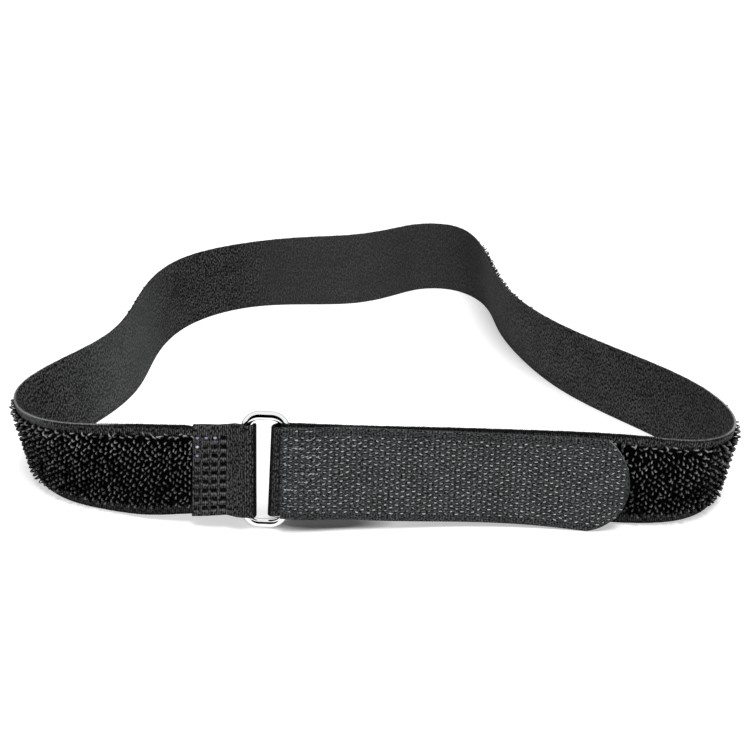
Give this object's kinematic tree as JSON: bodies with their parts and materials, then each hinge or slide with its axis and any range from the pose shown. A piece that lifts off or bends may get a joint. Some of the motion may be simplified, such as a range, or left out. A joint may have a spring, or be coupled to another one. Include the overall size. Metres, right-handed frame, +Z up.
{
  "type": "hook and loop cinch strap",
  "caption": "Black hook and loop cinch strap closed through a chrome wire ring, standing on edge; the tab peels open and the ring rocks on its welded fold.",
  "frame": {"origin": "middle of the strap's footprint, on the surface that it stands on", "axes": "+X to the right and along the tab, as seen from in front of the ring; +Y away from the viewer, into the loop; +Z up, across the tape's width"},
  "size_m": [0.1918, 0.165, 0.034],
  "materials": {
    "woven_black": "smooth knitted tape, dull black",
    "pile_black": "pile of small loops, black",
    "weld_black": "smooth tape pressed by a welding horn",
    "fold_black": "smooth tape, dull black",
    "hook_tape_grey": "woven tape with raised stitches of clear thread",
    "bright_chrome": "polished plated wire"
  },
  "bodies": {
    "strap": {"loop_tape_web": "woven_black", "loop_pile": "pile_black", "anchor_fold": "weld_black", "tab_fold": "fold_black"},
    "ring": {"rectangular_ring": "bright_chrome"},
    "tab": {"hook_tape_tab": "hook_tape_grey", "tape_end": "fold_black"}
  },
  "joints": [
    {"name": "ring_swivel", "type": "hinge", "parent": "strap", "child": "ring", "pos_m": [-0.03058, -0.07871, 0.0172], "axis": [0.0469, 0, 0.9989], "range_deg": [-3.5, 3.5]},
    {"name": "tab_peel", "type": "hinge", "parent": "strap", "child": "tab", "pos_m": [-0.02077, -0.07871, 0.0172], "axis": [-0.0469, 0, -0.9989], "range_deg": [0, 140], "deforming": ["tab_fold"]}
  ]
}
